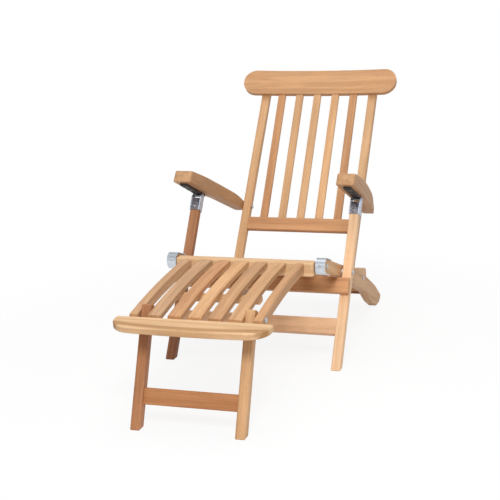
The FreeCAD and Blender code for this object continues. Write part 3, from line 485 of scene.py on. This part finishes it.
def stainless():
    """Turned stainless steel of bolts and screws."""
    material, tree, shader = new_material("stainless_fasteners")
    position = object_position(tree)
    marks = noise(tree, mapped(tree, position, scale=(700, 700, 700)), 3.0, 0.6)
    colour = ramp(tree, marks, [(0.3, (0.36, 0.37, 0.39)), (0.7, (0.58, 0.58, 0.60))])
    tree.links.new(colour, shader.inputs["Base Color"])
    tree.links.new(grey_ramp(tree, marks, 0.3, 0.7, 0.22, 0.38), shader.inputs["Roughness"])
    shader.inputs["Metallic"].default_value = 1.0
    tree.links.new(bump(tree, marks, 0.12, 0.0001), shader.inputs["Normal"])
    return material


def tone_of(name):
    for tone, names in TONE_GROUPS:
        if name in names:
            return tone
    return "golden"


def finish_pieces(new_boards):
    steel = zinc_steel()
    shaded_fork_steel = fork_steel_with_painted_shade()
    bright = stainless()
    black = dark_steel()
    for board in new_boards:
        board.data.materials.append(teak(board, tone_of(board.name), random.Random(board.name)))
    for name, piece in sorted(nodes.items()):
        if name in STEEL_PIECES:
            material = steel
        elif name in FORKS:
            material = shaded_fork_steel
        elif name in FASTENERS:
            material = bright
        elif name in TRACKS:
            material = black
        else:
            material = teak(piece, tone_of(name), random.Random(name))
        for slot in piece.material_slots:
            slot.material = material


# Floor and light.

FLOOR_HALF = 9.0
# How strong the shadow shows under the chair, and the distances over which it fades out.
FLOOR_SHADOW = 0.13
SHADOW_NEAR = 0.6
SHADOW_FAR = 1.5
SURROUNDINGS = 0.35
LIT_POINT = (0, 0, 0.4)
# Lamps: name, place, size and power in watts.
SOFTBOXES = (
    ("key_softbox", (0.9, -2.7, 2.7), 1.1, 74.0),
    ("top_softbox", (0.1, 0.2, 3.6), 2.4, 50.0),
)


def pale_floor():
    """Pale floor that keeps a light shadow under the chair and turns pure white away from it."""
    bpy.ops.mesh.primitive_plane_add(size=2 * FLOOR_HALF, location=(0, 0, 0))
    floor = bpy.context.active_object
    floor.name = "floor"
    material, tree, shader = new_material("pale_floor")
    shader.inputs["Base Color"].default_value = (0.90, 0.90, 0.90, 1.0)
    shader.inputs["Roughness"].default_value = 0.9
    away = tree.nodes.new("ShaderNodeVectorMath")
    away.operation = "LENGTH"
    tree.links.new(object_position(tree), away.inputs[0])
    whiteness = spread(tree, away.outputs["Value"], SHADOW_NEAR, SHADOW_FAR, 1.0 - FLOOR_SHADOW,
                       1.0, "SMOOTHSTEP")
    white = tree.nodes.new("ShaderNodeEmission")
    blend = tree.nodes.new("ShaderNodeMixShader")
    tree.links.new(reckon(tree, "MULTIPLY", seen_directly(tree), whiteness), blend.inputs["Fac"])
    tree.links.new(shader.outputs["BSDF"], blend.inputs[1])
    tree.links.new(white.outputs["Emission"], blend.inputs[2])
    output = next(node for node in tree.nodes if node.type == "OUTPUT_MATERIAL")
    tree.links.new(blend.outputs["Shader"], output.inputs["Surface"])
    floor.data.materials.append(material)


def soft_world(strength):
    """Even white surroundings: full white to the camera, softer as light."""
    world = bpy.data.worlds.new("studio")
    bpy.context.scene.world = world
    world.use_nodes = True
    tree = world.node_tree
    tree.nodes.clear()
    blend = tree.nodes.new("ShaderNodeMixShader")
    tree.links.new(seen_directly(tree), blend.inputs["Fac"])
    for place, level in ((1, strength), (2, 1.0)):
        background = tree.nodes.new("ShaderNodeBackground")
        background.inputs["Color"].default_value = (1, 1, 1, 1)
        background.inputs["Strength"].default_value = level
        tree.links.new(background.outputs[0], blend.inputs[place])
    output = tree.nodes.new("ShaderNodeOutputWorld")
    tree.links.new(blend.outputs[0], output.inputs["Surface"])


def softbox(name, place, size, power):
    data = bpy.data.lights.new(name, "AREA")
    data.shape = "SQUARE"
    data.size = size
    data.energy = power
    lamp = bpy.data.objects.new(name, data)
    bpy.context.scene.collection.objects.link(lamp)
    lamp.location = place
    lamp.rotation_euler = (Vector(LIT_POINT) - Vector(place)).to_track_quat("-Z", "Y").to_euler()


# Camera, set where the photograph was taken from.

CAMERA_PLACE = Vector((1.14979, -3.59427, 1.27735))
CAMERA_TURN = math.radians(18.56)
CAMERA_DIP = math.radians(14.07)
CAMERA_ROLL = math.radians(2.5)
PICTURE_SIZE = 500
FOCAL_PIXELS = 1172.8
SENSOR = 36.0


def photo_camera():
    data = bpy.data.cameras.new("photo_camera")
    camera = bpy.data.objects.new("photo_camera", data)
    bpy.context.scene.collection.objects.link(camera)
    data.sensor_width = SENSOR
    data.lens = FOCAL_PIXELS / PICTURE_SIZE * SENSOR
    data.dof.use_dof = False
    ahead = Vector((-math.sin(CAMERA_TURN) * math.cos(CAMERA_DIP),
                    math.cos(CAMERA_TURN) * math.cos(CAMERA_DIP),
                    -math.sin(CAMERA_DIP)))
    right = Vector((math.cos(CAMERA_TURN), math.sin(CAMERA_TURN), 0))
    up = right.cross(ahead)
    across = right * math.cos(CAMERA_ROLL) - up * math.sin(CAMERA_ROLL)
    above = right * math.sin(CAMERA_ROLL) + up * math.cos(CAMERA_ROLL)
    turn = Matrix((across, above, -ahead)).transposed()
    camera.matrix_world = Matrix.Translation(CAMERA_PLACE) @ turn.to_4x4()
    bpy.context.scene.camera = camera


arm_boards = [arm_board("left", 1), arm_board("right", -1)]
soften_headrest()
finish_pieces(arm_boards)
pale_floor()
soft_world(SURROUNDINGS)
for softbox_values in SOFTBOXES:
    softbox(*softbox_values)
photo_camera()
bpy.context.scene.view_settings.view_transform = "Standard"
